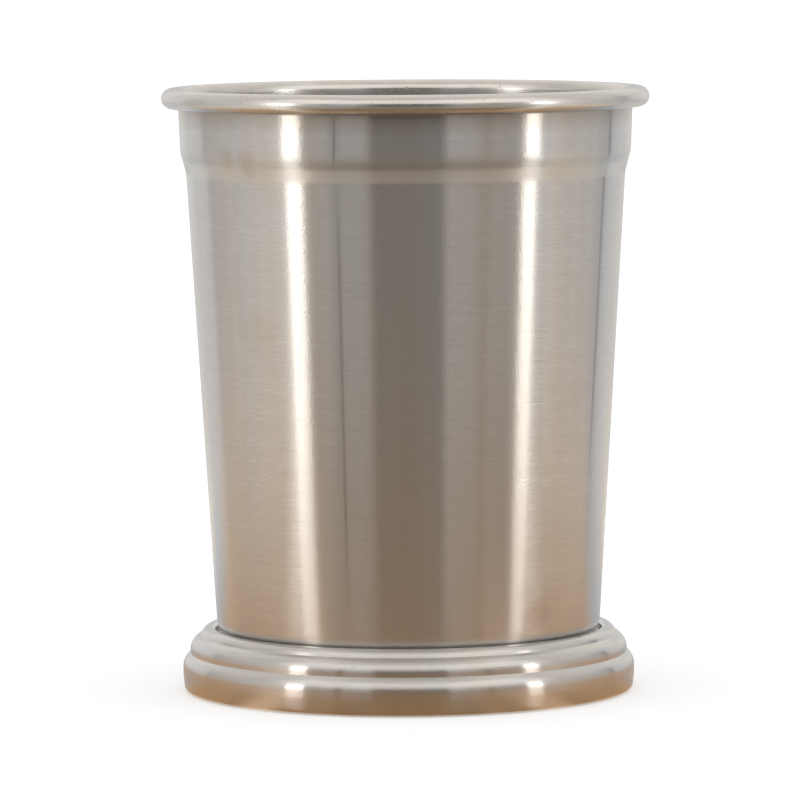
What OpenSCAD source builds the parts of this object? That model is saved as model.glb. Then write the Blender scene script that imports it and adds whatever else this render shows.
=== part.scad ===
/* [Cup] */
// Height from the table to the top of the rim
cup_h = 110; // [95:1:140]
// Diameter over the rolled rim
rim_d = 89; // [84:0.5:100]
// Thickness of the cup's sheet
cup_t = 0.5; // [0.4:0.05:0.7]
// Diameter of the round bead that the rim is rolled into
rim_roll_d = 3.6; // [3:0.1:4.4]
// Gap left between the rolled edge and the wall
rim_roll_gap = 0.1; // [0.05:0.05:0.3]

/* [Band and shoulder] */
// Depth of the plain band, from the top of the rim to the shoulder
band_depth = 11.6; // [8:0.2:30]
// How much the band draws in from the rim down to the shoulder, on the radius
band_draw = 0.3; // [0.05:0.05:1]
// Height of the sloping shoulder
shoulder_h = 3.8; // [2.6:0.1:8]
// How far the shoulder steps in, on the radius
shoulder_step = 1.05; // [0.3:0.05:2]
// Bend radius at the shoulder's two edges
shoulder_r = 6; // [1:0.5:8]

/* [Wall and floor] */
// Diameter that the tapered wall comes down to at the floor
floor_d = 69.7; // [60:0.1:76]
// Bend radius where the wall turns in to the floor
floor_r = 5; // [2:0.5:8]

/* [Foot] */
// Height of the foot, from the table to the top of its bead
foot_h = 11.4; // [10.8:0.1:16]
// Thickness of the foot's sheet
foot_t = 0.5; // [0.4:0.05:0.6]
// Gap between the cup's wall and the bead round the well
well_gap = 0.35; // [0.1:0.05:0.8]
// Depth of the seat below the top of the bead
seat_depth = 3.4; // [2.6:0.1:4.6]
// How far the seat reaches in under the flat of the cup's floor
seat_lap = 5; // [3:0.5:12]
// Bend radius between the well and the seat
well_r = 0.6; // [0.1:0.1:1]
// Width of the bead round the well
bead_w = 2.7; // [2.4:0.02:3]
// Height of the bead over the crease outside it
bead_drop = 1.42; // [1:0.02:1.7]
// Radius of the bead's inner edge, over the well
bead_in_r = 0.75; // [0.65:0.05:0.9]
// Radius that the bead is rounded over with on the outside
bead_out_r = 1.7; // [1:0.1:2.4]

/* [Foot tiers] */
// How far the upper tier stands out past the bead
upper_tier_w = 1.92; // [1:0.02:3]
// Radius of the upper tier's rounded shoulder
upper_tier_r = 2.7; // [1:0.1:3.4]
// How far the lower tier stands out past the upper one
lower_tier_w = 1.36; // [0.8:0.02:2.4]
// Height of the lower tier, from the table to the groove above it
lower_tier_h = 6.7; // [6:0.1:7.2]
// Radius of the lower tier's rounded shoulder
lower_tier_r = 3; // [1:0.1:4]
// Height up to which the lower tier draws in towards the table
toe_h = 2.7; // [1.5:0.1:3.2]
// How far the lower tier draws in at the table
toe_in = 0.28; // [0.05:0.01:0.6]
// Bend radius under the lower tier
toe_r = 0.75; // [0.65:0.05:1]
// Width of the lip that is turned in on the table
lip_w = 3.6; // [2.4:0.1:6]

/* [Base plate] */
// Thickness of the base plate
plate_t = 0.5; // [0.4:0.05:0.8]
// Gap between the base plate's edge and the foot
plate_gap = 0.35; // [0.2:0.05:0.6]
// Width of the flat land round the base plate's edge
plate_land_w = 8; // [4:0.5:14]
// Width of the slope inside the land
plate_slope_w = 2; // [2:0.1:4]
// How far the middle of the base plate is pressed up
plate_rise = 1.2; // [0.6:0.1:2.4]
// Bend radius at the slope's two edges
plate_r = 1.2; // [0.9:0.1:1.6]

/* [Solder] */
// Thickness of the solder in both joints
solder_t = 0.15; // [0.05:0.05:0.3]
// Width of the solder ring on the seat
seat_solder_w = 4.6; // [1:0.1:5]
// Width of the solder ring on the lip
base_solder_w = 1.8; // [0.6:0.1:2.4]

/* [Hidden] */
$fn = 180;

// Steepest turn between two neighbouring points of a bend
arc_step = 7.5;
// Two points this close together count as one
join_gap = 0.00001;

// The bead comes down to the crease at this angle below the level
bead_slope_a = 70;
// The tiers start at these angles below the level, from the crease and from the groove
upper_tier_slope_a = 28;
lower_tier_slope_a = 40;
// Radius that the crease and the groove keep in the sheet
crease_r = 0.06;

// How far a bend of radius r that turns by a reaches from its corner
function reach(r, a) = r * tan(a / 2);

// The rolled rim: its bead's radius and centre, and the turn that closes it on the wall
roll_r = rim_roll_d / 2;
roll_x = rim_d / 2 - roll_r;
roll_z = cup_h - roll_r;
roll_in_r = roll_r - cup_t;
roll_last_turn = 90 - acos(1 - (cup_t + rim_roll_gap) / roll_r);
roll_last_reach = reach(roll_in_r, roll_last_turn);

// The band and the shoulder, on the outer face
band_top_x = roll_x - roll_in_r;
band_x = band_top_x - band_draw;
band_z = cup_h - band_depth;
shoulder_x = band_x - shoulder_step;
shoulder_z = band_z - shoulder_h;

// The seat, and the cup's underside on its solder
seat_z = foot_h - seat_depth;
floor_z = seat_z + solder_t;
floor_x = floor_d / 2;
seat_x = floor_x - floor_r - seat_lap;

// The foot's outer face: well, bead and crease, with the bead rounded no more than its faces allow
wall_at_bead_x = floor_x + (shoulder_x - floor_x) * (foot_h - floor_z) / (shoulder_z - floor_z);
well_x = wall_at_bead_x + well_gap;
crease_x = well_x + bead_w;
crease_z = foot_h - bead_drop;
crease_turn = bead_slope_a - upper_tier_slope_a;
bead_x = crease_x - bead_drop / tan(bead_slope_a);
bead_room = min(bead_x - well_x - bead_in_r, bead_drop / sin(bead_slope_a) - reach(crease_r, crease_turn));
bead_out_round = min(bead_out_r, bead_room / tan(bead_slope_a / 2));

// The upper tier and the groove, with the rounded shoulder no larger than its faces allow
upper_x = crease_x + upper_tier_w;
upper_z = crease_z - upper_tier_w * tan(upper_tier_slope_a);
upper_turn = 90 - upper_tier_slope_a;
upper_room = min(upper_tier_w / cos(upper_tier_slope_a), upper_z - lower_tier_h);
upper_round = min(upper_tier_r, (upper_room - reach(crease_r, 90)) / tan(upper_turn / 2));

// The lower tier, the same way, and its toe
lower_turn = 90 - lower_tier_slope_a;
lower_x = upper_x + lower_tier_w;
lower_z = lower_tier_h - lower_tier_w * tan(lower_tier_slope_a);
lower_room = min(lower_tier_w / cos(lower_tier_slope_a), lower_z - toe_h);
lower_round = min(lower_tier_r, (lower_room - reach(crease_r, 90)) / tan(lower_turn / 2));
toe_x = lower_x - toe_in;
lip_x = toe_x - lip_w;

// The base plate, which lies on the lip and its solder
plate_z = foot_t + solder_t;
plate_x = toe_x - foot_t - plate_gap;
slope_outer_x = plate_x - plate_land_w;
slope_inner_x = slope_outer_x - plate_slope_w;

// Outline of the cup's outer face, from the axis to the rolled edge.
// Each corner is [distance from the axis, height, bend radius].
cup_corners = [
    [0, floor_z, 0],
    [floor_x, floor_z, floor_r],
    [shoulder_x, shoulder_z, shoulder_r],
    [band_x, band_z, shoulder_r],
    [band_top_x, roll_z - roll_r, shoulder_r],
    [roll_x - roll_in_r, roll_z + roll_in_r, roll_in_r],
    [roll_x + roll_in_r, roll_z + roll_in_r, roll_in_r],
    [roll_x + roll_in_r, roll_z - roll_in_r, roll_in_r],
    [roll_x - roll_last_reach, roll_z - roll_in_r, roll_in_r],
    [
        roll_x - roll_last_reach * (1 + cos(roll_last_turn)),
        roll_z - roll_in_r + roll_last_reach * sin(roll_last_turn),
        0
    ]
];

// Outline of the foot's outer face, from the seat over the bead and the tiers to the lip
foot_corners = [
    [seat_x, seat_z, 0],
    [well_x, seat_z, well_r],
    [well_x, foot_h, bead_in_r],
    [bead_x, foot_h, bead_out_round],
    [crease_x, crease_z, crease_r],
    [upper_x, upper_z, upper_round],
    [upper_x, lower_tier_h, crease_r],
    [lower_x, lower_z, lower_round],
    [lower_x, toe_h, lower_round],
    [toe_x, 0, toe_r],
    [lip_x, 0, 0]
];

// Outline of the base plate's underside, from the axis to its edge
plate_corners = [
    [0, plate_z + plate_rise, 0],
    [slope_inner_x, plate_z + plate_rise, plate_r],
    [slope_outer_x, plate_z, plate_r],
    [plate_x, plate_z, 0]
];

function unit(v) = v / norm(v);
function left_of(v) = [-v.y, v.x];
function turned(v, a) = [v.x * cos(a) - v.y * sin(a), v.x * sin(a) + v.y * cos(a)];
function spot(corner) = [corner[0], corner[1]];

// Direction of the outline between corner i and the next one
function heading(p, i) = unit(spot(p[i + 1]) - spot(p[i]));

// Turn at corner i, positive to the left
function turn_at(p, i) = atan2(cross(heading(p, i - 1), heading(p, i)), heading(p, i - 1) * heading(p, i));

// Corner i of the outline after it is moved d to its left, with the bend kept round the same centre
function moved_corner(p, i, d) =
    let (
        last = len(p) - 1,
        before = left_of(heading(p, max(i - 1, 0))),
        after = left_of(heading(p, min(i, last - 1))),
        place = spot(p[i]) + (before + after) * d / (1 + before * after),
        bend_r = (i == 0 || i == last) ? 0 : p[i][2] - d * sign(turn_at(p, i))
    )
    [place.x, place.y, bend_r];

// The points of the bend at corner i, or the corner itself at the outline's two ends
function bend_points(p, i) =
    (i == 0 || i == len(p) - 1) ? [spot(p[i])] :
    let (
        sweep = turn_at(p, i),
        start = spot(p[i]) - heading(p, i - 1) * reach(p[i][2], abs(sweep)),
        centre = start + left_of(heading(p, i - 1)) * p[i][2] * sign(sweep),
        steps = max(1, ceil(abs(sweep) / arc_step))
    )
    [for (k = [0 : steps]) centre + turned(start - centre, sweep * k / steps)];

// All points of the outline after it is moved d to its left, each point once
function face_points(corners, d) =
    let (
        p = [for (i = [0 : len(corners) - 1]) moved_corner(corners, i, d)],
        points = [for (i = [0 : len(p) - 1]) each bend_points(p, i)]
    )
    [for (i = [0 : len(points) - 1]) if (i == 0 || norm(points[i] - points[i - 1]) > join_gap) points[i]];

function backwards(points) = [for (i = [len(points) - 1 : -1 : 0]) points[i]];

// A sheet turned round the axis: one face follows the corners and the other lies d to their left
module turned_sheet(corners, d) {
    rotate_extrude()
        polygon(concat(face_points(corners, 0), backwards(face_points(corners, d))));
}

// A flat ring with its inner edge at x and its lower face at z
module flat_ring(x, z, width, thickness) {
    rotate_extrude()
        translate([x, z])
            square([width, thickness]);
}

// Drawn cup in one sheet: floor, tapered wall, shoulder, band and rolled rim
module cup_shell() {
    color([0.74, 0.72, 0.69])
        turned_sheet(cup_corners, cup_t);
}

// Stamped foot in one sheet: seat, well, bead, two tiers and turned-in lip
module foot_moulding() {
    color([0.70, 0.65, 0.58])
        turned_sheet(foot_corners, -foot_t);
}

// Pressed disc that closes the foot from below
module base_plate() {
    color([0.66, 0.65, 0.63])
        turned_sheet(plate_corners, plate_t);
}

// Solder that holds the cup's floor on the seat
module seat_solder() {
    color([0.80, 0.80, 0.78])
        flat_ring(seat_x, seat_z, seat_solder_w, solder_t);
}

// Solder that holds the base plate on the lip
module base_solder() {
    color([0.80, 0.80, 0.78])
        flat_ring(lip_x, foot_t, base_solder_w, solder_t);
}

cup_shell();
foot_moulding();
base_plate();
seat_solder();
base_solder();
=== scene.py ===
import math

import bpy
from mathutils import Matrix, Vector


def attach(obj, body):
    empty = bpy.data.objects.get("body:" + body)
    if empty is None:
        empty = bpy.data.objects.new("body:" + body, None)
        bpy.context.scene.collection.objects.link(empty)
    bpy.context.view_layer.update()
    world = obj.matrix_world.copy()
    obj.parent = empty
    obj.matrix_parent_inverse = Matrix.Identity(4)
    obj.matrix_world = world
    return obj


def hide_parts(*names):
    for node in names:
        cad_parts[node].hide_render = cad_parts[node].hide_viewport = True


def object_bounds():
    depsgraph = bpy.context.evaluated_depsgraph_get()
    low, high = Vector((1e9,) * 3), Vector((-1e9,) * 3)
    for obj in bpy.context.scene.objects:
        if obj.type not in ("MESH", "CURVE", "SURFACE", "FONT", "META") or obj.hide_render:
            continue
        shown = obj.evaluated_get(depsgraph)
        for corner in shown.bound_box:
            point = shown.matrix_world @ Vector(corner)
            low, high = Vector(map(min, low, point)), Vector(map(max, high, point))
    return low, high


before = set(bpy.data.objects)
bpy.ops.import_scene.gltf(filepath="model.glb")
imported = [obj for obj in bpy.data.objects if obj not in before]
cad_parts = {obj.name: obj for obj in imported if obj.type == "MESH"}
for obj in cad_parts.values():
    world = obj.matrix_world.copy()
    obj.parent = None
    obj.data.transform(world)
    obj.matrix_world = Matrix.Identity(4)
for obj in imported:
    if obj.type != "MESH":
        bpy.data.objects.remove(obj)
cad_low, cad_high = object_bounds()

MM = 0.001

# Turned sheets: the longest step along a half section and the steps round the axis, the distance at which
# points are merged, the bend below which a line counts as straight, and the bend above which an edge
# stays sharp
LONGEST_STEP = 1.3 * MM
TURN_STEPS = 256
WELD = 0.001 * MM
STRAIGHT = math.radians(0.05)
SHARP = math.radians(35)

# The cup's materials by their number on its mesh, the height of the rolled rim's bead, and how far a face
# has to look up to belong to the floor inside
WALL_SLOT = 0
INSIDE_SLOT = 1
RIM_SLOT = 2
RIM_BEAD = 3.6 * MM
FLOOR_LOOKS_UP = 0.5

# Depths under the rim's top between which the painted shade on the underside of the bead takes over
BEAD_SHADE_START = 1.7 * MM
BEAD_SHADE_FULL = 3.3 * MM

# The line left by the roll on the lower half of the shoulder, dull and painted lighter as a painted
# highlight, the greyer line over it, painted shade, and the painted shade in the strip under the rim's bead,
# placed from the rim's top. A fade is where a line starts to fade and where it has gone, from its middle.
ROLL_LINE_AND_GLOW_Z = cad_high.z - 14.5 * MM
ROLL_LINE_AND_GLOW_FADE = (0.7 * MM, 1.5 * MM)
OVER_ROLL_Z = ROLL_LINE_AND_GLOW_Z + 1.6 * MM
OVER_ROLL_FADE = (0.7 * MM, 1.4 * MM)
PAINTED_RIM_SHADE_Z = cad_high.z - 4.0 * MM
PAINTED_RIM_SHADE_DEPTH = 3.5 * MM

# The gap between the cup's wall and the foot: its top, a little under the foot's own, and its outer
# radius, each with its fade, and the pale colour painted into it, painted light that lifts its shade
FOOT_TOP_Z = max(point.co.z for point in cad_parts["foot_moulding"].data.vertices)
GAP_TOP_Z = FOOT_TOP_Z - 0.3 * MM
GAP_TOP_FADE = 0.3 * MM
GAP_RADIUS = 35.9 * MM
GAP_RADIUS_FADE = 0.2 * MM
GAP_PAINTED_LIGHT = "#F4F3F0"

# Touched and stained places on the wall: [x, y, z and radius in mm]
SMEARS = [(24.6, -26.4, 17.0, 5.5), (-28.5, -33.0, 97.0, 8.0), (-27.0, -28.5, 67.0, 6.0)]
STAINS = [(-28.7, -30.0, 97.6, 3.2), (-32.3, -26.2, 97.9, 2.6), (23.1, -26.7, 16.5, 3.4)]

# One short scratch over the shoulder and two long faint lines on the wall: [azimuth of the lower end,
# turn up to the upper end and width in degrees, heights of the two ends in mm, strength, colour]. The last
# one's upper end is past the rim, so the line doesn't fade below it.
UPRIGHT_MARKS = [
    (-18.1, 0.6, 0.6, 96.5, 106.5, 0.5, "#7C7873"),
    (-17.6, 0.0, 1.2, 20.0, 93.0, 0.28, "#7C7873"),
    (62.8, 0.0, 1.6, 38.0, 116.0, 0.34, "#6F6B67"),
]

# Share of a spot's radius, or of a mark's half width, that is full, and share of a mark's length, from
# its middle, at which it starts to fade towards its ends
FULL_SHARE = 0.4
MARK_FADE = 0.3

# Upward part of a face's normal up to which the face is upright, and from which it is a crest
UPRIGHT_UP_TO = 0.25
CREST_FROM = 0.65

# Camera, fitted to the outline of the cup: picture side and focal length in pixels, width of its sensor in
# mm, place, turns in radians, and the nearest and furthest distance that it sees
IMAGE_PX = 800
FOCAL_PX = 6030.19
SENSOR_MM = 36
CAMERA_DISTANCE = 1100 * MM
CAMERA_HEIGHT = 146.45 * MM
CAMERA_YAW = -0.0011835
CAMERA_PITCH = 0.0850042
CAMERA_ROLL = -0.0063040
CAMERA_SEES = (0.01, 50)

# Studio floor, which the camera sees: its side, its place under the cup, its paint and its own faint
# light
FLOOR_SIZE = 8.0
FLOOR_DROP = 0.3 * MM
FLOOR_PAINT = (0.8, 0.8, 0.8, 1)
FLOOR_GLOW = 0.3

# Studio room, which only the steel sees: a round wall with windows up to their heads, a ceiling that is
# lighter towards the back, and a table
ROOM_RADIUS = 1.6
ROOM_HEIGHT = 2.6
ROOM_SIDES = 128
WINDOW_HEAD = 0.55
WINDOW_HEAD_BLUR = 60 * MM
UPPER_LIGHT = 1.15
UPPER_TINT = "#FFFCF8"
CEILING_TINT = "#DAD5CE"
CEILING_FRONT_Y = -0.6
CEILING_BACK_Y = 0.5
CEILING_FRONT_LIGHT = 0.95
CEILING_BACK_LIGHT = 1.25
TABLE_DROP = 0.1 * MM

# Upright strip lamps left and right of the camera: azimuth and apparent width in degrees, and their size
# and light
STRIP_AZIMUTHS = {"left": -59.0, "right": 66.3}
STRIP_ANGLES = {"left": 9.5, "right": 8.3}
STRIP_DISTANCE = 0.95
STRIP_HEIGHT = 0.32
STRIP_FOOT = 10 * MM
STRIP_RADIANCE = 3.95
STRIP_TINT = "#FFF9F0"

# Levels of light round the cup: [turn from the camera's side towards +X in degrees, level]. A low level
# between two near turns is a bar between windows, and the wide low stretch in the middle is a dark part of
# the wall. First the wall up to the windows' heads, then the wall over them.
WALL_LEVELS = [
    (-180, 0.62), (-167, 0.66), (-160, 0.80), (-128, 0.84), (-124, 0.55), (-100, 0.66), (-74, 0.78),
    (-66, 0.82), (-58, 0.47), (-37.6, 0.49), (-36.9, 0.02), (-35.3, 0.02), (-34.6, 0.46), (-23, 0.48),
    (-19, 0.48), (-17, 0.03), (19.5, 0.04), (21, 0.64), (26, 0.52), (40, 0.40), (41.4, 0.10),
    (43.2, 0.10), (44, 0.42), (60, 0.40), (76, 0.78), (92, 0.66), (125, 0.56), (126.5, 0.05), (129, 0.76),
    (160, 0.78), (167, 0.66), (180, 0.62),
]
UPPER_LEVELS = [
    (-180, 0.80), (-110, 0.64), (-82, 0.60), (-72, 0.95), (-30, 1.0), (-12, 0.92), (12, 0.92), (30, 1.0),
    (74, 1.0), (86, 0.62), (110, 0.64), (180, 0.80),
]

# Levels of light on the table, from close to the foot out to the horizon
CLOSE_LEVELS = [
    (-180, 0.82), (-60, 0.84), (-48, 0.68), (-22, 0.64), (-18, 0.54), (18, 0.54), (22, 0.64), (50, 0.70),
    (64, 0.84), (180, 0.82),
]
MIDDLE_LEVELS = [
    (-180, 0.95), (-62, 0.92), (-46, 0.43), (-34, 0.37), (-20, 0.37), (-15, 0.39), (15, 0.39), (20, 0.38),
    (50, 0.37), (66, 0.88), (180, 0.90),
]
FAR_LEVELS = [
    (-180, 0.62), (-162, 0.70), (-128, 0.74), (-122, 0.57), (-100, 0.66), (-66, 0.78), (-58, 0.43),
    (-40, 0.40), (-20, 0.33), (-16, 0.22), (17, 0.23), (22, 0.37), (60, 0.34), (74, 0.76), (92, 0.66),
    (125.5, 0.57), (130.5, 0.68), (160, 0.70), (180, 0.62),
]
HORIZON_LEVELS = [
    (-180, 0.62), (-162, 0.70), (-128, 0.74), (-122, 0.57), (-100, 0.66), (-66, 0.78), (-58, 0.46),
    (-20, 0.46), (-16, 0.12), (17, 0.12), (22, 0.48), (60, 0.44), (74, 0.78), (92, 0.66), (125.5, 0.57),
    (130.5, 0.68), (160, 0.70), (180, 0.62),
]
# The table's zones past the closest one: [where each starts and has taken over in mm, its levels, its
# strength]
TABLE_ZONES = [
    (85, 130, MIDDLE_LEVELS, 1.0),
    (150, 260, FAR_LEVELS, 2.2),
    (700, 1300, HORIZON_LEVELS, 2.2),
]

# The strip lamps' glare on the table, next to the foot and further out, with its colours, the distances
# in mm over which the second takes over, and the distances over which its strength grows, with the two
# strengths
NEAR_GLARE_LEVELS = [
    (-180, 0), (-52, 0), (-45, 0.6), (-39, 0.6), (-33, 0), (31, 0), (36, 0.42), (42, 0.42), (48, 0),
    (180, 0),
]
NEAR_GLARE_TINT = "#FFE4C4"
GLARE_LEVELS = [
    (-180, 0), (-66, 0), (-61, 0.95), (-57, 0.95), (-52, 0), (59, 0), (64, 0.6), (68.6, 0.6), (73, 0),
    (180, 0),
]
GLARE_TINT = "#FFF6EA"
GLARE_CHANGE = (60, 85)
GLARE_GROWS = (75, 150)
GLARE_STRENGTHS = (0.6, 0.9)

# Colour of the table: [distance from the axis in mm, colour]
TABLE_COLOURS = [
    (36, "#CFCBC6"), (40, "#DAAE80"), (78, "#E1AF7A"), (92, "#E2B68A"), (130, "#E1C19C"),
    (180, "#E2CCB1"), (270, "#CFC4B4"), (420, "#B4B3B2"),
]
TABLE_REACH = 420 * MM
# Share of that colour that is left round the cup, next to the foot and further out. The rest is pale, up
# to the distances in mm over which the table's own colour comes back.
NEAR_WOOD_LEVELS = [(-180, 0.3), (-98, 0.3), (-76, 1), (76, 1), (98, 0.3), (180, 0.3)]
WOOD_LEVELS = [(-180, 0), (-133, 0), (-121, 1), (114, 1), (125, 0), (180, 0)]
WOOD_CHANGE = (50, 75)
PALE_TABLE = "#C8C8CA"
PALE_ENDS = (200, 320)

# Unevenness of the room's light by direction: [scale and detail of the noise, the noise's levels between
# which it goes over, its two colours]
UNEVENNESS = [
    (3.5, 1.0, 0.35, 0.65, (0.97, 1.0, 1.04, 1), (1.04, 1.0, 0.95, 1)),
    (9.0, 3.0, 0.3, 0.7, (0.93, 0.93, 0.93, 1), (1.07, 1.07, 1.07, 1)),
]

# Numbers of the Mix node's sockets for colours, which share their names with those for plain values
MIX_A = 6
MIX_B = 7
MIX_RESULT = 2


def srgb(text):
    """A hex colour as linear red, green, blue and alpha."""
    parts = [int(text[i : i + 2], 16) / 255 for i in (1, 3, 5)]
    return [c / 12.92 if c <= 0.04045 else ((c + 0.055) / 1.055) ** 2.4 for c in parts] + [1.0]


def add(tree, kind, sockets=None, **settings):
    """Adds a node with its settings, and fills its sockets with values or with links from other nodes."""
    made = tree.nodes.new(kind)
    for name, value in settings.items():
        setattr(made, name, value)
    for name, value in (sockets or {}).items():
        if isinstance(value, bpy.types.NodeSocket):
            tree.links.new(value, made.inputs[name])
        else:
            made.inputs[name].default_value = value
    return made


def new_material(name):
    """An empty material with its node tree and output."""
    material = bpy.data.materials.new(name)
    material.use_nodes = True
    material.node_tree.nodes.clear()
    return material, material.node_tree, add(material.node_tree, "ShaderNodeOutputMaterial")


def fill_ramp(ramp, stops):
    """Fills a colour ramp with positions and colours."""
    elements = ramp.color_ramp.elements
    while len(elements) < len(stops):
        elements.new(0.5)
    for element, (position, colour) in zip(elements, stops):
        element.position = position
        element.color = colour


def place_parts(tree):
    """X, Y and Z of a point, in the object's own coordinates."""
    place = add(tree, "ShaderNodeTexCoord").outputs["Object"]
    return add(tree, "ShaderNodeSeparateXYZ", {0: place}).outputs


def azimuth(tree):
    """Turn of a point round the axis in radians, from the camera's side towards +X."""
    parts = place_parts(tree)
    ahead = add(tree, "ShaderNodeMath", {0: parts["Y"], 1: -1.0}, operation="MULTIPLY").outputs[0]
    return add(tree, "ShaderNodeMath", {0: parts["X"], 1: ahead}, operation="ARCTAN2").outputs[0]


def distance_out(tree):
    """Distance of a point from the middle of the foot."""
    place = add(tree, "ShaderNodeTexCoord").outputs["Object"]
    return add(tree, "ShaderNodeVectorMath", {0: place}, operation="LENGTH").outputs["Value"]


# Camera and studio


def make_camera():
    turn = Matrix.Rotation(-CAMERA_YAW, 4, "Z")
    turn = turn @ Matrix.Rotation(math.pi / 2 - CAMERA_PITCH, 4, "X")
    turn = turn @ Matrix.Rotation(CAMERA_ROLL, 4, "Z")
    bpy.ops.object.camera_add(location=(0, -CAMERA_DISTANCE, CAMERA_HEIGHT), rotation=turn.to_euler())
    camera = bpy.context.object
    camera.data.sensor_width = SENSOR_MM
    camera.data.lens = FOCAL_PX / IMAGE_PX * SENSOR_MM
    camera.data.clip_start, camera.data.clip_end = CAMERA_SEES
    bpy.context.scene.camera = camera


def direction_level(tree, levels):
    """The level that a table gives for the direction of a point from the axis."""
    sockets = {"Value": azimuth(tree), "From Min": -math.pi, "From Max": math.pi}
    share = add(tree, "ShaderNodeMapRange", sockets)
    ramp = add(tree, "ShaderNodeValToRGB", {"Fac": share.outputs[0]})
    fill_ramp(ramp, [((turn + 180) / 360, (level, level, level, 1)) for turn, level in levels])
    return ramp.outputs["Color"]


def tinted_level(tree, levels, tint):
    """The level that a table gives, in the colour of its light."""
    made = add(
        tree, "ShaderNodeMix", {0: 1.0, MIX_A: direction_level(tree, levels), MIX_B: tint},
        data_type="RGBA", blend_type="MULTIPLY",
    )
    return made.outputs[MIX_RESULT]


def uneven(tree, level):
    """Breaks a level up by direction, a little warmer here and cooler there, as a real room does."""
    place = add(tree, "ShaderNodeTexCoord").outputs["Object"]
    flat = add(tree, "ShaderNodeVectorMath", {0: place, 1: (1, 1, 0)}, operation="MULTIPLY").outputs[0]
    towards = add(tree, "ShaderNodeVectorMath", {0: flat}, operation="NORMALIZE").outputs[0]
    shifts = []
    for scale, detail, low, high, first, second in UNEVENNESS:
        cloud = add(tree, "ShaderNodeTexNoise", {"Vector": towards, "Scale": scale, "Detail": detail}).outputs
        share = add(tree, "ShaderNodeMapRange", {"Value": cloud["Fac"], "From Min": low, "From Max": high})
        sockets = {0: share.outputs[0], MIX_A: first, MIX_B: second}
        shift = add(tree, "ShaderNodeMix", sockets, data_type="RGBA")
        shifts.append(shift.outputs[MIX_RESULT])
    both = add(
        tree, "ShaderNodeMix", {0: 1.0, MIX_A: shifts[0], MIX_B: shifts[1]},
        data_type="RGBA", blend_type="MULTIPLY",
    ).outputs[MIX_RESULT]
    return add(
        tree, "ShaderNodeMix", {0: 1.0, MIX_A: level, MIX_B: both},
        data_type="RGBA", blend_type="MULTIPLY",
    ).outputs[MIX_RESULT]


def painted_wall():
    """Wall of the room: window light up to the windows' heads, and paint over them."""
    material, tree, out = new_material("painted studio wall")
    above = add(
        tree, "ShaderNodeMapRange",
        {
            "Value": place_parts(tree)["Z"],
            "From Min": WINDOW_HEAD - WINDOW_HEAD_BLUR, "From Max": WINDOW_HEAD + WINDOW_HEAD_BLUR,
        },
    ).outputs[0]
    upper = tinted_level(tree, UPPER_LEVELS, srgb(UPPER_TINT))
    level = add(
        tree, "ShaderNodeMix", {0: above, MIX_A: direction_level(tree, WALL_LEVELS), MIX_B: upper},
        data_type="RGBA",
    ).outputs[MIX_RESULT]
    strength = add(tree, "ShaderNodeMapRange", {"Value": above, "To Min": 1.0, "To Max": UPPER_LIGHT})
    light = add(tree, "ShaderNodeEmission", {"Color": uneven(tree, level), "Strength": strength.outputs[0]})
    tree.links.new(light.outputs[0], out.inputs["Surface"])
    return material


def going_out(tree, near, far, change):
    """One colour near the axis and another further out, with the distances in mm over which it goes over."""
    share = add(
        tree, "ShaderNodeMapRange",
        {"Value": distance_out(tree), "From Min": change[0] * MM, "From Max": change[1] * MM},
    ).outputs[0]
    made = add(tree, "ShaderNodeMix", {0: share, MIX_A: near, MIX_B: far}, data_type="RGBA")
    return made.outputs[MIX_RESULT]


def wooden_table():
    """Table under the cup: tan wood with the lamps' glare on it, grey by the distance at which it ends."""
    material, tree, out = new_material("oiled wooden table")
    distance = distance_out(tree)
    share = add(tree, "ShaderNodeMath", {0: distance, 1: TABLE_REACH}, operation="DIVIDE")
    wood = add(tree, "ShaderNodeValToRGB", {"Fac": share.outputs[0]})
    fill_ramp(wood, [(reach * MM / TABLE_REACH, srgb(colour)) for reach, colour in TABLE_COLOURS])
    near_kept = direction_level(tree, NEAR_WOOD_LEVELS)
    kept = going_out(tree, near_kept, direction_level(tree, WOOD_LEVELS), WOOD_CHANGE)
    pale = add(
        tree, "ShaderNodeMix", {0: kept, MIX_A: srgb(PALE_TABLE), MIX_B: wood.outputs["Color"]},
        data_type="RGBA",
    ).outputs[MIX_RESULT]
    colour = going_out(tree, pale, wood.outputs["Color"], PALE_ENDS)
    level = direction_level(tree, CLOSE_LEVELS)
    for start, end, levels, strength in TABLE_ZONES:
        further = tinted_level(tree, levels, (strength, strength, strength, 1))
        level = going_out(tree, level, further, (start, end))
    lit = add(
        tree, "ShaderNodeMix", {0: 1.0, MIX_A: colour, MIX_B: uneven(tree, level)},
        data_type="RGBA", blend_type="MULTIPLY",
    ).outputs[MIX_RESULT]
    near_glare = tinted_level(tree, NEAR_GLARE_LEVELS, srgb(NEAR_GLARE_TINT))
    glare = going_out(tree, near_glare, tinted_level(tree, GLARE_LEVELS, srgb(GLARE_TINT)), GLARE_CHANGE)
    glare_share = add(
        tree, "ShaderNodeMapRange",
        {
            "Value": distance, "From Min": GLARE_GROWS[0] * MM, "From Max": GLARE_GROWS[1] * MM,
            "To Min": GLARE_STRENGTHS[0], "To Max": GLARE_STRENGTHS[1],
        },
    ).outputs[0]
    glow = add(
        tree, "ShaderNodeMix", {0: glare_share, MIX_A: lit, MIX_B: glare},
        data_type="RGBA", blend_type="ADD",
    ).outputs[MIX_RESULT]
    light = add(tree, "ShaderNodeEmission", {"Color": glow})
    tree.links.new(light.outputs[0], out.inputs["Surface"])
    return material


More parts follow.
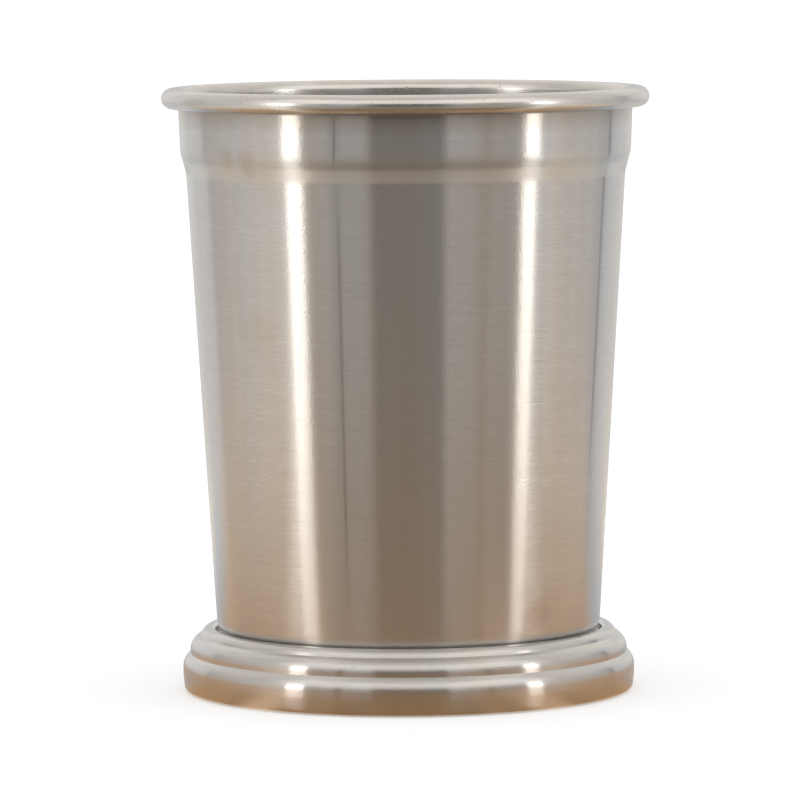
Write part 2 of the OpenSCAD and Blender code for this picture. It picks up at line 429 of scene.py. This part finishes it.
def grey_ceiling():
    """Ceiling of the room: one grey, lighter towards the back."""
    material, tree, out = new_material("grey studio ceiling")
    strength = add(
        tree, "ShaderNodeMapRange",
        {
            "Value": place_parts(tree)["Y"], "From Min": CEILING_FRONT_Y, "From Max": CEILING_BACK_Y,
            "To Min": CEILING_FRONT_LIGHT, "To Max": CEILING_BACK_LIGHT,
        },
    ).outputs[0]
    light = add(tree, "ShaderNodeEmission", {"Color": srgb(CEILING_TINT), "Strength": strength})
    tree.links.new(light.outputs[0], out.inputs["Surface"])
    return material


def white_floor():
    """Floor under the cup: matt white that keeps the shadow, with a faint glow, and clear from below."""
    material, tree, out = new_material("matt white floor")
    rays = add(tree, "ShaderNodeLightPath").outputs
    seen = rays["Is Camera Ray"]
    for kind in ("Is Glossy Ray", "Is Transmission Ray"):
        seen = add(tree, "ShaderNodeMath", {0: seen, 1: rays[kind]}, operation="MAXIMUM").outputs[0]
    glow = add(tree, "ShaderNodeMath", {0: seen, 1: FLOOR_GLOW}, operation="MULTIPLY")
    paint = add(tree, "ShaderNodeBsdfDiffuse", {"Color": FLOOR_PAINT})
    light = add(tree, "ShaderNodeEmission", {"Strength": glow.outputs[0]})
    both = add(tree, "ShaderNodeAddShader", {0: paint.outputs[0], 1: light.outputs[0]})
    under = add(tree, "ShaderNodeNewGeometry").outputs["Backfacing"]
    clear = add(tree, "ShaderNodeBsdfTransparent")
    seen_from = add(tree, "ShaderNodeMixShader", {0: under, 1: both.outputs[0], 2: clear.outputs[0]})
    tree.links.new(seen_from.outputs[0], out.inputs["Surface"])
    return material


def only_in_reflections(card, name, material):
    """Names a studio card, gives it its material, and hides it from everything but glossy rays."""
    card.name = name
    bpy.ops.object.transform_apply()
    card.data.materials.append(material)
    card.visible_camera = False
    card.visible_diffuse = False
    card.visible_transmission = False
    card.visible_volume_scatter = False
    card.visible_shadow = False


def make_sky():
    """Plain white light from all round."""
    world = bpy.data.worlds.new("white studio")
    bpy.context.scene.world = world
    world.use_nodes = True
    world.node_tree.nodes.clear()
    sky = add(world.node_tree, "ShaderNodeBackground", {"Color": (1, 1, 1, 1), "Strength": 1.0})
    out = add(world.node_tree, "ShaderNodeOutputWorld")
    world.node_tree.links.new(sky.outputs[0], out.inputs["Surface"])


def make_floor():
    bpy.ops.object.select_all(action="DESELECT")
    bpy.ops.mesh.primitive_plane_add(size=FLOOR_SIZE, location=(0, 0, -FLOOR_DROP))
    floor = bpy.context.object
    floor.name = "studio_floor"
    floor.data.materials.append(white_floor())


def make_room():
    """The round wall, the ceiling and the table that the steel mirrors."""
    bpy.ops.mesh.primitive_cylinder_add(
        vertices=ROOM_SIDES, radius=ROOM_RADIUS, depth=ROOM_HEIGHT, end_fill_type="NOTHING",
        location=(0, 0, ROOM_HEIGHT / 2),
    )
    only_in_reflections(bpy.context.object, "studio_wall", painted_wall())
    for name, height, material in (
        ("studio_ceiling", ROOM_HEIGHT, grey_ceiling()),
        ("studio_table", -TABLE_DROP, wooden_table()),
    ):
        bpy.ops.mesh.primitive_circle_add(
            vertices=ROOM_SIDES, radius=ROOM_RADIUS, fill_type="NGON", location=(0, 0, height)
        )
        only_in_reflections(bpy.context.object, name, material)


def make_strips():
    """The two upright strip lamps, whose mirror pictures are the tall white stripes on the wall."""
    for side, degrees in STRIP_AZIMUTHS.items():
        turn = math.radians(degrees)
        middle = (
            STRIP_DISTANCE * math.sin(turn),
            -STRIP_DISTANCE * math.cos(turn),
            STRIP_HEIGHT / 2 + STRIP_FOOT,
        )
        bpy.ops.object.light_add(type="AREA", location=middle, rotation=(math.pi / 2, 0, turn))
        lamp = bpy.context.object
        lamp.name = "strip_" + side
        lamp.data.shape = "RECTANGLE"
        lamp.data.size = 2 * STRIP_DISTANCE * math.tan(math.radians(STRIP_ANGLES[side] / 2))
        lamp.data.size_y = STRIP_HEIGHT
        lamp.data.color = srgb(STRIP_TINT)[:3]
        lamp.data.energy = STRIP_RADIANCE * math.pi * lamp.data.size * lamp.data.size_y
        lamp.visible_camera = False


# Materials of the cup


def sheet_place(tree):
    """Object coordinates with height less radius as the third, so a pattern follows walls and flats alike."""
    parts = place_parts(tree)
    across = add(tree, "ShaderNodeCombineXYZ", {"X": parts["X"], "Y": parts["Y"]})
    radius = add(tree, "ShaderNodeVectorMath", {0: across.outputs[0]}, operation="LENGTH")
    along = add(tree, "ShaderNodeMath", {0: parts["Z"], 1: radius.outputs["Value"]}, operation="SUBTRACT")
    place = add(tree, "ShaderNodeCombineXYZ", {"X": parts["X"], "Y": parts["Y"], "Z": along.outputs[0]})
    return place.outputs[0]


def grain(tree, place, round_mm, across_mm, shift, detail=2.0):
    """Uneven grain of one size round the axis and another across it; the shift keeps two layers apart."""
    scaled = add(
        tree, "ShaderNodeVectorMath",
        {
            0: place,
            1: (1 / (round_mm * MM), 1 / (round_mm * MM), 1 / (across_mm * MM)),
            2: (shift, -shift, shift),
        },
        operation="MULTIPLY_ADD",
    )
    made = add(tree, "ShaderNodeTexNoise", {"Vector": scaled.outputs[0], "Scale": 1.0, "Detail": detail})
    return made.outputs["Fac"]


def flecks(tree, place, low, high, strength=1.0, **sizes):
    """What stands out of a grain: nothing up to the grain's low level, full strength from its high level."""
    sockets = {"Value": grain(tree, place, **sizes), "From Min": low, "From Max": high, "To Max": strength}
    return add(tree, "ShaderNodeMapRange", sockets).outputs[0]


def line_at(tree, height, fade):
    """A level line round the cup at a height: full at its middle, and fading over two distances from it."""
    gap = add(tree, "ShaderNodeMath", {0: place_parts(tree)["Z"], 1: height}, operation="SUBTRACT").outputs[0]
    gap = add(tree, "ShaderNodeMath", {0: gap}, operation="ABSOLUTE").outputs[0]
    return add(
        tree, "ShaderNodeMapRange",
        {"Value": gap, "From Min": fade[0], "From Max": fade[1], "To Min": 1.0, "To Max": 0.0},
    ).outputs[0]


def spots(tree, places):
    """Soft round spots on the sheet: [x, y, z and radius in mm]."""
    here = add(tree, "ShaderNodeTexCoord").outputs["Object"]
    found = None
    for x, y, z, radius in places:
        gap = add(tree, "ShaderNodeVectorMath", {0: here, 1: (x * MM, y * MM, z * MM)}, operation="DISTANCE")
        spot = add(
            tree, "ShaderNodeMapRange",
            {
                "Value": gap.outputs["Value"], "From Min": FULL_SHARE * radius * MM, "From Max": radius * MM,
                "To Min": 1.0, "To Max": 0.0,
            },
        ).outputs[0]
        if found is not None:
            spot = add(tree, "ShaderNodeMath", {0: found, 1: spot}, operation="MAXIMUM").outputs[0]
        found = spot
    return found


def upright_mark(tree, start, turn, width, low, high):
    """A thin mark up the wall: azimuth of its lower end, its turn up to the upper end and its width, all in
    degrees, and the heights of its ends, towards which it fades."""
    height = place_parts(tree)["Z"]
    line = add(
        tree, "ShaderNodeMapRange",
        {
            "Value": height, "From Min": low, "From Max": high,
            "To Min": math.radians(start), "To Max": math.radians(start + turn),
        },
    ).outputs[0]
    aside = add(tree, "ShaderNodeMath", {0: azimuth(tree), 1: line}, operation="SUBTRACT")
    aside = add(tree, "ShaderNodeMath", {0: aside.outputs[0]}, operation="ABSOLUTE")
    along = add(tree, "ShaderNodeMath", {0: height, 1: (low + high) / 2}, operation="SUBTRACT")
    along = add(tree, "ShaderNodeMath", {0: along.outputs[0]}, operation="ABSOLUTE")
    half = math.radians(width) / 2
    sides = add(
        tree, "ShaderNodeMapRange",
        {
            "Value": aside.outputs[0], "From Min": FULL_SHARE * half, "From Max": half,
            "To Min": 1.0, "To Max": 0.0,
        },
    )
    ends = add(
        tree, "ShaderNodeMapRange",
        {
            "Value": along.outputs[0], "From Min": MARK_FADE * (high - low), "From Max": 0.5 * (high - low),
            "To Min": 1.0, "To Max": 0.0,
        },
    )
    both = add(tree, "ShaderNodeMath", {0: ends.outputs[0], 1: sides.outputs[0]}, operation="MULTIPLY")
    return both.outputs[0]


def upright_faces(tree):
    """How upright the surface stands: 1 on a wall, 0 on a flat or on the top of a bead."""
    slope = add(tree, "ShaderNodeSeparateXYZ", {0: add(tree, "ShaderNodeNewGeometry").outputs["Normal"]})
    slope = add(tree, "ShaderNodeMath", {0: slope.outputs["Z"]}, operation="ABSOLUTE")
    return add(
        tree, "ShaderNodeMapRange",
        {
            "Value": slope.outputs[0], "From Min": UPRIGHT_UP_TO, "From Max": CREST_FROM,
            "To Min": 1.0, "To Max": 0.0,
        },
    ).outputs[0]


def coated(tree, colour, coats):
    """Lays coats over a colour: [pattern, its low and high level, the coat's share at each, its colour]."""
    for pattern, low, high, at_low, at_high, coat in coats:
        share = add(
            tree, "ShaderNodeMapRange",
            {"Value": pattern, "From Min": low, "From Max": high, "To Min": at_low, "To Max": at_high},
        ).outputs[0]
        mixed = add(tree, "ShaderNodeMix", {0: share, MIX_A: colour, MIX_B: srgb(coat)}, data_type="RGBA")
        colour = mixed.outputs[MIX_RESULT]
    return colour


def roughened(tree, parts):
    """Adds up roughness: [pattern, its low and high level, the roughness that it gives at each]."""
    found = None
    for pattern, low, high, at_low, at_high in parts:
        part = add(
            tree, "ShaderNodeMapRange",
            {"Value": pattern, "From Min": low, "From Max": high, "To Min": at_low, "To Max": at_high},
        ).outputs[0]
        if found is not None:
            part = add(tree, "ShaderNodeMath", {0: found, 1: part}, operation="ADD").outputs[0]
        found = part
    return found


def relief(tree, layers):
    """Lays reliefs over each other, the first at the bottom: [height, depth in mm, strength]."""
    found = None
    for height, depth_mm, strength in layers:
        sockets = {"Height": height, "Distance": depth_mm * MM, "Strength": strength}
        if found is not None:
            sockets["Normal"] = found
        found = add(tree, "ShaderNodeBump", sockets).outputs[0]
    return found


def worked_metal(tree, out, colour, roughness, normal, anisotropy):
    """Metal worked round the axis: it draws reflections out across its lines, a quarter turn from them."""
    around = add(tree, "ShaderNodeTangent", direction_type="RADIAL", axis="Z")
    made = add(
        tree, "ShaderNodeBsdfPrincipled",
        {
            "Base Color": colour, "Metallic": 1.0, "Roughness": roughness, "Anisotropic": anisotropy,
            "Anisotropic Rotation": 0.25, "Tangent": around.outputs[0], "Normal": normal,
        },
    )
    tree.links.new(made.outputs[0], out.inputs["Surface"])


# Brushed stainless steel of the wall: fine lines round the cup, so the lights stand on it as tall soft
# stripes. The real lines are some 0.05 mm apart; they are drawn 0.2 mm apart, which the picture can show.
def brushed_wall():
    material, tree, out = new_material("brushed stainless steel wall")
    place = sheet_place(tree)
    lines = grain(tree, place, round_mm=2.6, across_mm=0.2, shift=3.1)
    bands = grain(tree, place, round_mm=40.0, across_mm=1.6, shift=7.7, detail=3.0)
    scratches = flecks(tree, place, 0.74, 0.84, round_mm=7.0, across_mm=0.16, shift=11.3, detail=0.0)
    haze = flecks(tree, place, 0.52, 0.80, strength=0.5, round_mm=16.0, across_mm=11.0, shift=5.2, detail=3.0)
    smeared = grain(tree, place, round_mm=2.5, across_mm=1.2, shift=2.4)
    smears = add(tree, "ShaderNodeMath", {0: spots(tree, SMEARS), 1: smeared}, operation="MULTIPLY")
    touched = add(tree, "ShaderNodeMath", {0: haze, 1: smears.outputs[0]}, operation="MAXIMUM").outputs[0]
    blotched = grain(tree, place, round_mm=3.0, across_mm=2.0, shift=9.9)
    stains = add(tree, "ShaderNodeMath", {0: spots(tree, STAINS), 1: blotched}, operation="MULTIPLY")
    height = place_parts(tree)["Z"]
    roll_line_and_glow = line_at(tree, ROLL_LINE_AND_GLOW_Z, ROLL_LINE_AND_GLOW_FADE)
    over_roll_shade = line_at(tree, OVER_ROLL_Z, OVER_ROLL_FADE)
    coats = [
        (lines, 0.25, 0.75, 0.0, 0.55, "#BFBDBB"),
        (bands, 0.3, 0.7, 0.0, 0.5, "#C9C7C5"),
        (scratches, 0, 1, 0.0, 0.28, "#A9A6A2"),
        (touched, 0, 1, 0.0, 0.5, "#C4BBB0"),
    ]
    for start, turn, width, low_mm, high_mm, strength, tone in UPRIGHT_MARKS:
        mark = upright_mark(tree, start, turn, width, low_mm * MM, high_mm * MM)
        coats.append((mark, 0, 1, 0.0, strength, tone))
    coats += [
        # a greyer line over the roll's line: painted shade on the upper part of the shoulder
        (over_roll_shade, 0, 1, 0.0, 0.8, "#BEC1C4"),
        # the roll's line painted lighter, a painted highlight of the shoulder's glow; its added roughness is
        # the roll's real dull mark
        (roll_line_and_glow, 0, 1, 0.0, 0.7, "#E2E2E1"),
        (stains.outputs[0], 0, 1, 0.0, 0.5, "#A59680"),
        # painted shade: the top of the wall darker under the rim's bead
        (height, PAINTED_RIM_SHADE_Z - PAINTED_RIM_SHADE_DEPTH, PAINTED_RIM_SHADE_Z, 0.0, 0.8, "#B3ABA2"),
        # painted light: the wall painted pale down in the gap, lifting its shade
        (height, GAP_TOP_Z, GAP_TOP_Z + GAP_TOP_FADE, 1.0, 0.0, GAP_PAINTED_LIGHT),
    ]
    roughness = roughened(tree, [
        (lines, 0.2, 0.8, 0.228, 0.246),
        (roll_line_and_glow, 0, 1, 0.0, 0.15),
        (bands, 0.3, 0.7, -0.008, 0.010),
        (touched, 0, 1, 0.0, 0.035),
    ])
    normal = relief(tree, [
        (grain(tree, place, round_mm=45.0, across_mm=30.0, shift=1.9, detail=1.0), 0.09, 0.5),
        (grain(tree, place, round_mm=0.45, across_mm=0.3, shift=28.0, detail=1.0), 0.009, 1.0),
        (grain(tree, place, round_mm=1.3, across_mm=0.2, shift=6.6, detail=1.0), 0.006, 1.0),
    ])
    worked_metal(tree, out, coated(tree, srgb("#D2D1D0"), coats), roughness, normal, anisotropy=1.0)
    return material


# Satin stainless steel of the inside: the same brushing, left coarser and duller, so it only takes soft
# light, and painted a warmer, darker tan, a painted reflection of the tan it mirrors. Its lines are drawn
# 0.3 mm apart, further than the real ones, so that they show.
def satin_inside():
    material, tree, out = new_material("satin stainless steel inside")
    place = sheet_place(tree)
    lines = grain(tree, place, round_mm=9.0, across_mm=0.3, shift=13.1)
    bands = grain(tree, place, round_mm=50.0, across_mm=2.4, shift=4.4, detail=3.0)
    # warmer, darker tan than the outside steel: a painted reflection
    colour = coated(tree, srgb("#D3C9BE"), [
        (lines, 0.25, 0.75, 0.0, 1.0, "#C4B9AC"),
        (bands, 0.3, 0.7, 0.0, 0.5, "#C9BEB2"),
    ])
    roughness = roughened(tree, [
        (lines, 0.2, 0.8, 0.30, 0.34),
        (bands, 0.3, 0.7, -0.01, 0.02),
    ])
    worked_metal(tree, out, colour, roughness, relief(tree, [(lines, 0.006, 0.5)]), anisotropy=0.9)
    return material


# Buffed stainless steel of the rolled rim: bright enough for narrow glints, with pits and knocks from
# use. The underside of the bead is painted bluer and darker, a painted shade that takes the table's
# reflected tan down in it. The lines of the wheel are too fine to show, so they are drawn 0.25 mm apart.
def buffed_rim():
    material, tree, out = new_material("buffed stainless steel rim")
    place = sheet_place(tree)
    lines = grain(tree, place, round_mm=6.0, across_mm=0.25, shift=9.3)
    pits = flecks(tree, place, 0.68, 0.76, round_mm=0.7, across_mm=0.5, shift=21.0, detail=1.0)
    height = place_parts(tree)["Z"]
    colour = coated(tree, srgb("#DFDCD8"), [
        (lines, 0.3, 0.7, 0.0, 1.0, "#D2CFCB"),
        (pits, 0, 1, 0.0, 0.45, "#8D8780"),
        # painted shade: the underside of the bead bluer and darker
        (height, cad_high.z - BEAD_SHADE_FULL, cad_high.z - BEAD_SHADE_START, 0.75, 0.0, "#A6B0BE"),
    ])
    roughness = roughened(tree, [
        (lines, 0.2, 0.8, 0.23, 0.26),
        (pits, 0, 1, 0.0, 0.12),
    ])
    normal = relief(tree, [
        (grain(tree, place, round_mm=0.5, across_mm=0.4, shift=31.0, detail=1.0), 0.008, 1.0),
        (lines, 0.003, 0.5),
        (pits, -0.03, 0.4),
    ])
    worked_metal(tree, out, colour, roughness, normal, anisotropy=0.4)
    return material


# Buffed stainless steel of the foot: polished on the wheel after stamping, so its beads show the room
# more sharply. The wheel reaches the crests best, so they are smoother than the upright faces, and their
# colour is painted brighter as a painted highlight. Its lines are too fine to show, so they are drawn
# 0.22 mm apart. The gap round the cup's corner is painted pale, painted light that lifts its shade.
def buffed_foot():
    material, tree, out = new_material("buffed stainless steel foot")
    place = sheet_place(tree)
    lines = grain(tree, place, round_mm=7.0, across_mm=0.22, shift=6.5)
    bands = grain(tree, place, round_mm=30.0, across_mm=1.3, shift=15.5, detail=3.0)
    knocks = flecks(tree, place, 0.70, 0.78, round_mm=1.4, across_mm=0.7, shift=17.0, detail=1.0)
    faces = upright_faces(tree)
    here = add(tree, "ShaderNodeTexCoord").outputs["Object"]
    flat = add(tree, "ShaderNodeVectorMath", {0: here, 1: (1, 1, 0)}, operation="MULTIPLY").outputs[0]
    radius = add(tree, "ShaderNodeVectorMath", {0: flat}, operation="LENGTH").outputs["Value"]
    # crests and tops painted brighter than the upright faces: a painted highlight
    colour = coated(tree, srgb("#DAD8D5"), [
        (faces, 0, 1, 0.0, 1.0, "#CDCBC9"),
        (lines, 0.25, 0.75, 0.0, 0.4, "#BFBCB8"),
        (knocks, 0, 1, 0.0, 0.3, "#98938C"),
        # painted light: the foot painted pale inside the gap, lifting its shade
        (radius, GAP_RADIUS, GAP_RADIUS + GAP_RADIUS_FADE, 1.0, 0.0, GAP_PAINTED_LIGHT),
    ])
    roughness = roughened(tree, [
        (lines, 0.2, 0.8, 0.160, 0.185),
        (bands, 0.3, 0.7, -0.006, 0.010),
        (faces, 0, 1, 0.0, 0.035),
    ])
    normal = relief(tree, [
        (grain(tree, place, round_mm=22.0, across_mm=8.0, shift=8.1, detail=1.0), 0.05, 0.4),
        (grain(tree, place, round_mm=0.5, across_mm=0.3, shift=33.0, detail=1.0), 0.004, 1.0),
        (lines, 0.002, 0.5),
        (knocks, -0.02, 0.3),
    ])
    worked_metal(tree, out, colour, roughness, normal, anisotropy=1.0)
    return material


# Turned stainless steel of the base plate: plain rings of the tool, drawn 0.35 mm apart so that they show,
# with dull rubbed patches and light scratches.
def turned_plate():
    material, tree, out = new_material("turned stainless steel plate")
    place = sheet_place(tree)
    rings = grain(tree, place, round_mm=60.0, across_mm=0.35, shift=12.2, detail=3.0)
    wear = flecks(tree, place, 0.48, 0.66, round_mm=12.0, across_mm=5.0, shift=19.0, detail=3.0)
    scratches = flecks(tree, place, 0.66, 0.74, round_mm=14.0, across_mm=0.3, shift=23.0, detail=1.0)
    colour = coated(tree, srgb("#C9C7C5"), [
        (rings, 0.3, 0.7, 0.0, 1.0, "#B4B1AD"),
        (wear, 0, 1, 0.0, 0.5, "#B0A89D"),
        (scratches, 0, 1, 0.0, 0.4, "#DEDCDA"),
    ])
    roughness = roughened(tree, [
        (rings, 0.3, 0.7, 0.33, 0.38),
        (wear, 0, 1, 0.0, 0.08),
    ])
    worked_metal(tree, out, colour, roughness, relief(tree, [(rings, 0.012, 0.6)]), anisotropy=0.8)
    return material


# Tin solder of the two seams: cast metal that has set in soft lumps, duller than the steel on both sides
# of it.
def tin_solder():
    material, tree, out = new_material("tin solder")
    place = add(tree, "ShaderNodeTexCoord").outputs["Object"]
    lumps = grain(tree, place, round_mm=1.8, across_mm=1.2, shift=4.0, detail=3.0)
    colour = coated(tree, srgb("#E6E6E4"), [(lumps, 0.3, 0.7, 0.0, 1.0, "#BDBCB8")])
    roughness = roughened(tree, [(lumps, 0.3, 0.7, 0.38, 0.52)])
    worked_metal(tree, out, colour, roughness, relief(tree, [(lumps, 0.15, 0.7)]), anisotropy=0.0)
    return material


# Pieces of the cup


def edit(piece):
    """Makes one piece the only selected one, and opens it in edit mode with all of its mesh selected."""
    bpy.ops.object.select_all(action="DESELECT")
    piece.select_set(True)
    bpy.context.view_layer.objects.active = piece
    bpy.ops.object.mode_set(mode="EDIT")
    bpy.ops.mesh.select_all(action="SELECT")


def select_long_edges(piece, longest):
    """Selects the edges that are longer than a length, and says whether there are any."""
    bpy.ops.mesh.select_all(action="DESELECT")
    bpy.ops.object.mode_set(mode="OBJECT")
    points = [v.co for v in piece.data.vertices]
    found = [e for e in piece.data.edges if (points[e.vertices[0]] - points[e.vertices[1]]).length > longest]
    for edge in found:
        edge.select = True
    bpy.ops.object.mode_set(mode="EDIT")
    return bool(found)


def turned_sheet(node, name):
    """A turned sheet: a node's half section, cut from a copy of its mesh, evened out and spun."""
    piece = bpy.data.objects.new(name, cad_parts[node].data.copy())
    bpy.context.scene.collection.objects.link(piece)
    piece.data.name = name
    piece.data.materials.clear()
    edit(piece)
    bpy.ops.mesh.customdata_custom_splitnormals_clear()
    bpy.ops.mesh.remove_doubles(threshold=WELD)
    bpy.ops.mesh.bisect(plane_co=(0, 0, 0), plane_no=(1, 0, 0), clear_inner=True, threshold=WELD)
    bpy.ops.mesh.select_all(action="SELECT")
    bpy.ops.mesh.bisect(
        plane_co=(0, 0, 0), plane_no=(0, 1, 0), clear_inner=True, clear_outer=True, threshold=WELD
    )
    bpy.ops.mesh.select_all(action="SELECT")
    bpy.ops.mesh.dissolve_limited(angle_limit=STRAIGHT)
    while select_long_edges(piece, LONGEST_STEP):
        bpy.ops.mesh.subdivide(number_cuts=1)
    bpy.ops.mesh.select_all(action="SELECT")
    bpy.ops.mesh.spin(steps=TURN_STEPS, angle=math.tau, center=(0, 0, 0), axis=(0, 0, 1))
    bpy.ops.mesh.select_all(action="SELECT")
    bpy.ops.mesh.remove_doubles(threshold=WELD)
    bpy.ops.mesh.normals_make_consistent(inside=False)
    bpy.ops.object.mode_set(mode="OBJECT")
    bpy.ops.object.shade_smooth_by_angle(angle=SHARP)
    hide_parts(node)
    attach(piece, "root")
    return piece


def make_drawn_cup():
    cup = turned_sheet("cup_shell", "drawn_cup")
    for material in (brushed_wall(), satin_inside(), buffed_rim()):
        cup.data.materials.append(material)
    for face in cup.data.polygons:
        outward = face.normal.x * face.center.x + face.normal.y * face.center.y > 0
        if face.center.z > cad_high.z - RIM_BEAD:
            face.material_index = RIM_SLOT
        elif outward and face.normal.z <= FLOOR_LOOKS_UP:
            face.material_index = WALL_SLOT
        else:
            face.material_index = INSIDE_SLOT


def make_stamped_foot():
    foot = turned_sheet("foot_moulding", "stamped_foot")
    foot.data.materials.append(buffed_foot())


def make_base_plate():
    plate = turned_sheet("base_plate", "pressed_base_plate")
    plate.data.materials.append(turned_plate())


def make_solder_seams():
    """The two solder rings are the CAD's own, and only take their material."""
    solder = tin_solder()
    for node in ("seat_solder", "base_solder"):
        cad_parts[node].data.materials.clear()
        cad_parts[node].data.materials.append(solder)


make_camera()
make_sky()
make_floor()
make_room()
make_strips()
make_drawn_cup()
make_stamped_foot()
make_base_plate()
make_solder_seams()

bpy.context.scene.view_settings.view_transform = "Standard"
